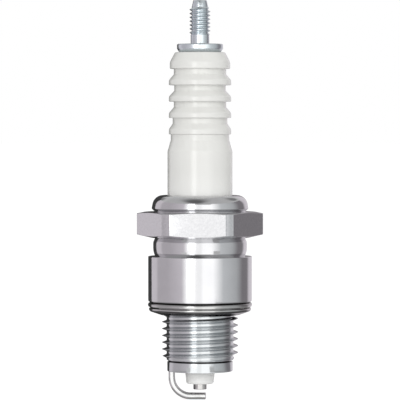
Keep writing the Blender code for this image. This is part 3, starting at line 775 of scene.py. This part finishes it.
def plated_steel():
    """Bright plating with turning rings and grained flats, greyer on the thread, with painted shade in
    two gaps.
    """
    material, nodes = finish("plated_steel")
    point, radius, height = nodes.place()
    rings = turning_marks(nodes, radius, height, grain=0.12 * MM)
    grain = nodes.noise(point, grain=0.35 * MM, detail=4.0, roughness=0.65)
    cloud = nodes.noise(point, grain=2.5 * MM)
    flats = nodes.step(radius, HEX_FLAT_R - 0.1 * MM, HEX_FLAT_R)
    relief = rings * (1 - flats) * 0.3 + grain * (flats * 0.6 + 0.2)
    mottle = cloud * (1 - flats) + (grain * 3 - 1) * flats
    plating = nodes.mix(mottle, colour(0.58, 0.58, 0.592), colour(0.66, 0.66, 0.67))
    threads = 1 - nodes.step(height, NECK_END - 1 * MM, NECK_END)
    greyer = nodes.mix(threads * 0.7, plating, colour(0.58, 0.605, 0.615))
    # Painted shade: the metal is darkened in the gap at the collar's foot and in the groove above the
    # pilot.
    gap = painted_shade(nodes, height, place=0, reach=0.4 * MM, share=0.85)
    groove = painted_shade(nodes, height, place=PILOT_TOP - 0.1 * MM, reach=0.3 * MM, share=0.8)
    surface(nodes, {
        "Base Color": nodes.mix(gap.most(groove), greyer, grey(0.07)),
        "Metallic": 1.0,
        "Roughness": 0.07 + cloud * 0.06 + flats * 0.04,
        "Normal": nodes.bump(relief, FINE_MARKS),
    })
    return material


def gasket_steel():
    """Plated sheet with fine rings, with painted shade underneath, in its fold and next to the collar."""
    material, nodes = finish("gasket_steel")
    point, radius, height = nodes.place()
    rings = turning_marks(nodes, radius, height, grain=0.1 * MM)
    cloud = nodes.noise(point, grain=1.8 * MM)
    plating = nodes.mix(cloud, colour(0.51, 0.51, 0.505), colour(0.58, 0.58, 0.575))
    above = height - GASKET_LOW.z
    # Painted shade: the sheet is darkened underneath, in its fold and next to the collar.
    under = (1 - nodes.step(above, 0.86 * MM, 1.08 * MM)) * 0.95
    gap = painted_shade(nodes, height, place=0, reach=0.7 * MM, share=0.6)
    fold = painted_shade(nodes, height, place=GASKET_HIGH.z - GASKET_LIP, reach=0.22 * MM, share=0.8)
    surface(nodes, {
        "Base Color": nodes.mix(gap.most(under).most(fold), plating, grey(0.05)),
        "Metallic": 1.0,
        "Roughness": 0.09 + cloud * 0.07,
        "Normal": nodes.bump(rings, FINE_MARKS),
    })
    return material


def strap_nickel():
    """Drawn nickel strip, pale, with fine lines along it."""
    material, nodes = finish("strap_nickel")
    point = nodes.point()
    along = Vector((0.15, 1.0, 0.15))
    stretched = nodes.add("ShaderNodeVectorMath", {"operation": "MULTIPLY"}, {0: point, 1: along})
    lines = nodes.noise(stretched, grain=0.12 * MM)
    cloud = nodes.noise(point, grain=0.9 * MM)
    surface(nodes, {
        "Base Color": nodes.mix(cloud, colour(0.62, 0.62, 0.615), colour(0.69, 0.69, 0.685)),
        "Metallic": 1.0,
        "Roughness": 0.1 + cloud * 0.06,
        "Normal": nodes.bump(lines, FINE_MARKS),
    })
    return material


def glazed_ceramic():
    """White ceramic: glazed, paler towards the crimp by painted light, bare at the nose and paler there,
    partly its own colour and partly painted light, with painted shade in the shell's end.
    """
    material, nodes = finish("glazed_ceramic")
    point = nodes.point()
    height = nodes.add("ShaderNodeSeparateXYZ", None, {0: point}, "Z")
    cloud = nodes.noise(point, grain=5 * MM, detail=2.0)
    grain = nodes.noise(point, grain=0.35 * MM)
    ripple = nodes.noise(point, grain=1.6 * MM, detail=2.0)
    bare = 1 - nodes.step(height, -1 * MM, 1 * MM)
    warm = nodes.mix(cloud, colour(0.765, 0.765, 0.735), colour(0.80, 0.80, 0.775))
    glazed = nodes.mix(grain * 0.25, warm, colour(0.83, 0.83, 0.81))
    # Painted light: the glaze turns paler towards the crimp, in place of the light the crimp throws back.
    foot = (1 - nodes.step(height, CRIMP_TOP, CRIMP_TOP + 5 * MM)) * 0.35
    # The bare nose is paler: partly the colour of unglazed ceramic, partly painted light in place of the
    # light the shell keeps off.
    pale = nodes.mix(foot.most(bare), glazed, colour(0.96, 0.96, 0.945))
    # Painted shade on the nose where it goes into the shell's end.
    mouth_shade = nodes.step(height, SHELL_LOW.z - 0.35 * MM, SHELL_LOW.z) * bare * 0.75
    surface(nodes, {
        "Base Color": nodes.mix(mouth_shade, pale, grey(0.1)),
        "Roughness": 0.12 + bare * 0.45 + grain * 0.04,
        "Normal": nodes.bump(ripple * (1 - bare) * 0.6 + grain * bare, GLAZE_RELIEF),
    })
    return material


def terminal_steel():
    """Bluish bright steel with fine rings."""
    material, nodes = finish("terminal_steel")
    point, radius, height = nodes.place()
    rings = turning_marks(nodes, radius, height, grain=0.08 * MM)
    cloud = nodes.noise(point, grain=1.2 * MM)
    surface(nodes, {
        "Base Color": nodes.mix(cloud, colour(0.62, 0.67, 0.70), colour(0.70, 0.755, 0.78)),
        "Metallic": 1.0,
        "Roughness": 0.2 + cloud * 0.1,
        "Normal": nodes.bump(rings, FINE_MARKS),
    })
    return material


def nickel_alloy():
    """Greyer nickel of the centre electrode."""
    material, nodes = finish("nickel_alloy")
    point, radius, height = nodes.place()
    rings = turning_marks(nodes, radius, height, grain=0.08 * MM)
    cloud = nodes.noise(point, grain=0.8 * MM)
    surface(nodes, {
        "Base Color": nodes.mix(cloud, colour(0.50, 0.49, 0.48), colour(0.60, 0.59, 0.58)),
        "Metallic": 1.0,
        "Roughness": 0.2 + cloud * 0.12,
        "Normal": nodes.bump(rings, FINE_MARKS),
    })
    return material


def inner_metal(name, dark, light, roughness):
    """Unpolished metal inside the plug."""
    material, nodes = finish(name)
    point, radius, height = nodes.place()
    cloud = nodes.noise(point, grain=0.7 * MM)
    rings = turning_marks(nodes, radius, height, grain=0.1 * MM)
    surface(nodes, {
        "Base Color": nodes.mix(cloud, dark, light),
        "Metallic": 1.0,
        "Roughness": roughness + cloud * 0.15,
        "Normal": nodes.bump(rings, ROUGH_MARKS),
    })
    return material


def inner_mineral(name, dark, light, roughness, grain):
    """Glass, carbon or powder inside the plug."""
    material, nodes = finish(name)
    specks = nodes.noise(nodes.point(), grain, detail=4.0, roughness=0.7)
    surface(nodes, {
        "Base Color": nodes.mix(specks, dark, light),
        "Roughness": roughness + specks * 0.15,
        "Normal": nodes.bump(specks, SPECK_RELIEF),
    })
    return material


def dress_inner_nodes():
    """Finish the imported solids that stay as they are, inside the plug."""
    copper = inner_metal("copper", colour(0.64, 0.30, 0.16), colour(0.78, 0.42, 0.25), roughness=0.25)
    packing = inner_metal("packing_steel", grey(0.42), grey(0.56), roughness=0.35)
    seal = inner_mineral("conducting_glass", colour(0.09, 0.08, 0.08), colour(0.17, 0.15, 0.14),
                         roughness=0.3, grain=0.3 * MM)
    carbon = inner_mineral("carbon_glass", grey(0.03), colour(0.10, 0.10, 0.11),
                           roughness=0.55, grain=0.2 * MM)
    talc = inner_mineral("talc", colour(0.78, 0.77, 0.73), colour(0.88, 0.87, 0.83),
                         roughness=0.8, grain=0.15 * MM)
    finishes = {
        "copper_core": copper,
        "lower_glass_seal": seal,
        "upper_glass_seal": seal,
        "resistor": carbon,
        "seat_packing": packing,
        "lower_packing_ring": packing,
        "upper_packing_ring": packing,
        "talc_fill": talc,
    }
    for node, material in finishes.items():
        mesh = frame["nodes"][node].data
        mesh.materials.clear()
        mesh.materials.append(material)


# Studio

FLOOR_SIZE = 12.0
FLOOR_GAP = 0.02 * MM         # from the floor up to the plug's lowest point
PLUG_BOTTOM = CAD_BOX[0][2]
FLOOR_GLOW = 0.88             # of the floor as it is seen, before any light falls on it
FLOOR_SHADE = 0.3             # how much of the light on it shows, and so of the object's shadow
FLOOR_PAINT = 0.9
AMBIENT = 0.61
KEY_POWER = 5.75
KEY_PLACE = Vector((0.06, -0.92, 0.2))
KEY_WIDTH = 1.1
KEY_LENGTH = 0.8
CAMERA_TURN = math.radians(2.6)
CAMERA_DISTANCE = 0.55
CAMERA_HEIGHT = 31.0 * MM
VIEW_HEIGHT = 73.26 * MM      # of the picture, at the plug's axis
VIEW_CENTRE = 18.67 * MM

# Cards round the object, which only bright surfaces reflect
ROOM_RADIUS = 200 * MM
ROOM_TOP = 130 * MM
ROOM_STEPS = 120
BLACK = 0.06
DIM = 0.26
GREY = 0.57
SILVER = 0.76
PALE = 1.38
WHITE = 1.6
STRIP = 3.4
STRIP_FROM = -28              # degrees to the right of the camera
STRIP_TO = -13
STRIP_INSET = 4 * MM          # from the room's wall
LILAC = Vector((1.03, 0.97, 1.03))
COOL = Vector((0.975, 1.0, 1.02))
PLAIN = Vector((1.0, 1.0, 1.0))
ROOM_LEVELS = (               # degrees to the right of the camera, level and tint
    (-180, SILVER, LILAC),
    (-112, SILVER, LILAC),
    (-104, GREY, LILAC),
    (-76, GREY, LILAC),
    (-40, SILVER, LILAC),
    (-28, WHITE, PLAIN),
    (-12, WHITE, PLAIN),
    (-8, PALE, PLAIN),
    (2, PALE, PLAIN),
    (7, WHITE, PLAIN),
    (28, WHITE, PLAIN),
    (52, SILVER, COOL),
    (86, GREY, COOL),
    (106, DIM, LILAC),
    (126, DIM, LILAC),
    (137, SILVER, LILAC),
    (165, SILVER, LILAC),
    (173, DIM, LILAC),
)
WALL = 194                    # radius in mm of the dark cards on the wall
WALL_TOP = 148
SHADES = (                    # two (radius, height above the floor) places in mm, two angles and a level
    ((WALL, 0), (WALL, WALL_TOP), -180, -134, BLACK),     # wall behind, on the left
    ((0, 0), (WALL, 0), -180, -134, BLACK),               # floor in front of that wall
    ((22, 0), (45, 0), -134, -44, 0.45),                  # floor near the plug, on the left
    ((22, 0), (85, 0), -46, -33, 0.8),                    # floor in front, on the left
    ((22, 0), (130, 0), 33, 50, 0.66),                    # floor in front, on the right
    ((22, 0), (45, 0), 46, 150, 0.4),                     # floor near the plug, on the right
    ((0, 0), (9, 0), -134, -60, 0.35),                    # floor under the strap's bend
    ((0, 0), (3, 0), -134, 180, 0.35),                    # floor under the electrode's tip
    ((WALL, 130), (WALL, WALL_TOP), -14, 28, 0.3),        # top of the wall in front
)
CEILING_FRONT = 0.6
CEILING_BACK = 0.7
CEILING_FADE = 130 * MM       # from the middle to where the ceiling is as pale as at the back
ANY_HEIGHT = 1000             # reach in mm that plays no part, because the ceiling is flat
CEILING_PATCHES = (           # centre, reach and level of each dark patch
    (Vector((-20, -92, 0)) * MM, Vector((70, 112, ANY_HEIGHT)) * MM, 0.16),
    (Vector((99, 77, 0)) * MM, Vector((60, 60, ANY_HEIGHT)) * MM, DIM),
    (Vector((-125, 135, 0)) * MM, Vector((60, 60, ANY_HEIGHT)) * MM, DIM),
)
PATCH_DARK = 0.3              # share of its reach at which a dark patch starts to pale
PATCH_END = 1.15              # and at which it has gone


def seen_rays(nodes):
    """1 for rays that show the background itself: from the camera, in metal and through glass."""
    camera = nodes.add("ShaderNodeLightPath", output="Is Camera Ray")
    glossy = nodes.add("ShaderNodeLightPath", output="Is Glossy Ray")
    through = nodes.add("ShaderNodeLightPath", output="Is Transmission Ray")
    return camera.most(glossy).most(through)


def make_world():
    """White behind the object, and an even soft light from all round."""
    world = bpy.data.worlds.new("studio")
    bpy.context.scene.world = world
    world.use_nodes = True
    nodes = Nodes(world.node_tree)
    white = nodes.add("ShaderNodeBackground", None, {"Color": grey(1), "Strength": 1.0})
    light = nodes.add("ShaderNodeBackground", None, {"Color": grey(1), "Strength": AMBIENT})
    shown = nodes.add("ShaderNodeMixShader", None, {0: seen_rays(nodes), 1: light, 2: white})
    nodes.add("ShaderNodeOutputWorld", None, {"Surface": shown})


def add_stage(name, bm, material):
    """A surface of the studio, which isn't part of the object."""
    mesh = bpy.data.meshes.new(name)
    bm.to_mesh(mesh)
    bm.free()
    mesh.materials.append(material)
    piece = bpy.data.objects.new(name, mesh)
    bpy.context.scene.collection.objects.link(piece)
    return piece


def make_floor():
    """Pale floor under the strap, white where it is lit, with the object's shadow on it."""
    material, nodes = finish("floor_white")
    glow = nodes.add("ShaderNodeEmission", None, {"Color": grey(1), "Strength": FLOOR_GLOW})
    shade = nodes.add("ShaderNodeBsdfDiffuse", None, {"Color": grey(FLOOR_SHADE)})
    paint = nodes.add("ShaderNodeBsdfDiffuse", None, {"Color": grey(FLOOR_PAINT)})
    seen = nodes.add("ShaderNodeAddShader", None, {0: glow, 1: shade})
    shown = nodes.add("ShaderNodeMixShader", None, {0: seen_rays(nodes), 1: paint, 2: seen})
    nodes.add("ShaderNodeOutputMaterial", None, {"Surface": shown})
    bm = bmesh.new()
    bmesh.ops.create_grid(bm, x_segments=1, y_segments=1, size=FLOOR_SIZE)
    bmesh.ops.translate(bm, verts=bm.verts[:], vec=(0, 0, PLUG_BOTTOM - FLOOR_GAP))
    add_stage("floor", bm, material)


def make_card(name, bm, paint):
    """A card that only bright surfaces reflect. Its paint function gives its colour from its nodes."""
    material, nodes = finish(name)
    glow = nodes.add("ShaderNodeEmission", None, {"Color": paint(nodes), "Strength": 1.0})
    nodes.add("ShaderNodeOutputMaterial", None, {"Surface": glow})
    card = add_stage(name, bm, material)
    card.visible_camera = False
    card.visible_diffuse = False
    card.visible_transmission = False
    card.visible_volume_scatter = False
    card.visible_shadow = False


def plain_paint(level):
    """Paint of one grey level."""
    return lambda nodes: grey(level)


def room_paint(nodes):
    """The grey levels round the room, from one side of the camera to the other."""
    sockets = {"Vector": nodes.point(), "Angle": -CAMERA_TURN}
    turned = nodes.add("ShaderNodeVectorRotate", {"rotation_type": "Z_AXIS"}, sockets)
    x = nodes.add("ShaderNodeSeparateXYZ", None, {0: turned}, "X")
    y = nodes.add("ShaderNodeSeparateXYZ", None, {0: turned}, "Y")
    angle = nodes.add("ShaderNodeMath", {"operation": "ARCTAN2"}, {0: x, 1: 0 - y})
    stops = [((degrees + 180) / 360, colour(*(tint * level))) for degrees, level, tint in ROOM_LEVELS]
    return nodes.add("ShaderNodeValToRGB", {"stops": stops}, {0: angle * (1 / math.tau) + 0.5})


def ceiling_paint(nodes):
    """Grey in front, paler behind, with soft dark patches."""
    point = nodes.point()
    y = nodes.add("ShaderNodeSeparateXYZ", None, {0: point}, "Y")
    shade = nodes.mix(nodes.step(y, 0, CEILING_FADE), grey(CEILING_FRONT), grey(CEILING_BACK))
    for centre, reach, dark in CEILING_PATCHES:
        middle = centre + Vector((0, 0, ROOM_TOP))
        aside = nodes.add("ShaderNodeVectorMath", {"operation": "SUBTRACT"}, {0: point, 1: middle})
        share = nodes.add("ShaderNodeVectorMath", {"operation": "DIVIDE"}, {0: aside, 1: reach})
        away = nodes.add("ShaderNodeVectorMath", {"operation": "LENGTH"}, {0: share}, "Value")
        shade = nodes.mix(nodes.step(away, PATCH_DARK, PATCH_END), grey(dark), shade)
    return shade


def sheet(first, second, start=-180, end=180):
    """A curved sheet between two (radius, height) places and two angles to the right of the camera."""
    bm = bmesh.new()
    angle = CAMERA_TURN + math.radians(start)
    outwards = Vector((math.sin(angle), -math.cos(angle), 0))
    places = [outwards * radius + Vector((0, 0, height)) for radius, height in (first, second)]
    verts = [bm.verts.new(place) for place in places]
    edge = bm.edges.new(verts)
    bmesh.ops.spin(bm, geom=verts + [edge], cent=(0, 0, 0), axis=(0, 0, 1),
                   angle=math.radians(end - start), steps=ROOM_STEPS, use_duplicate=False)
    return bm


def make_cards():
    """The room of cards that gives the metal its bands, and the dark cards in it."""
    floor_z = PLUG_BOTTOM - FLOOR_GAP / 2
    shade_z = floor_z + FLOOR_GAP / 4
    strip_r = ROOM_RADIUS - STRIP_INSET
    strip = sheet((strip_r, floor_z), (strip_r, ROOM_TOP), STRIP_FROM, STRIP_TO)
    make_card("room_card", sheet((ROOM_RADIUS, floor_z), (ROOM_RADIUS, ROOM_TOP)), room_paint)
    make_card("room_floor_card", sheet((0, floor_z), (ROOM_RADIUS, floor_z)), room_paint)
    make_card("ceiling_card", sheet((0, ROOM_TOP), (ROOM_RADIUS, ROOM_TOP)), ceiling_paint)
    make_card("strip_card", strip, plain_paint(STRIP))
    for index, (first, second, start, end, level) in enumerate(SHADES):
        places = [(radius * MM, shade_z + height * MM) for radius, height in (first, second)]
        make_card(f"shade_card_{index}", sheet(*places, start, end), plain_paint(level))


def make_key_light():
    """A broad soft lamp in front, a little to the right and above."""
    lamp = bpy.data.lights.new("key_light", "AREA")
    lamp.shape = "RECTANGLE"
    lamp.size = KEY_WIDTH
    lamp.size_y = KEY_LENGTH
    lamp.energy = KEY_POWER
    light = bpy.data.objects.new("key_light", lamp)
    bpy.context.scene.collection.objects.link(light)
    light.location = KEY_PLACE
    towards = Vector((0, 0, VIEW_CENTRE)) - KEY_PLACE
    light.rotation_euler = towards.to_track_quat("-Z", "Y").to_euler()
    light.visible_glossy = False
    light.visible_camera = False


def make_camera():
    """A long lens in front of the plug, level with its lowest rib."""
    lens = bpy.data.cameras.new("camera")
    lens.sensor_fit = "HORIZONTAL"
    lens.lens = lens.sensor_width * CAMERA_DISTANCE / VIEW_HEIGHT
    camera = bpy.data.objects.new("camera", lens)
    bpy.context.scene.collection.objects.link(camera)
    aside = Vector((math.sin(CAMERA_TURN), -math.cos(CAMERA_TURN), 0))
    camera.location = aside * CAMERA_DISTANCE + Vector((0, 0, CAMERA_HEIGHT))
    towards = Vector((0, 0, VIEW_CENTRE)) - camera.location
    camera.rotation_euler = towards.to_track_quat("-Z", "Y").to_euler()
    bpy.context.scene.camera = camera


def main():
    """Dress the plug and set up the studio round it."""
    make_shell()
    make_insulator()
    make_stud()
    make_gasket()
    make_strap()
    make_centre_electrode()
    dress_inner_nodes()
    make_world()
    make_floor()
    make_cards()
    make_key_light()
    make_camera()
    bpy.context.scene.view_settings.view_transform = "Standard"


main()
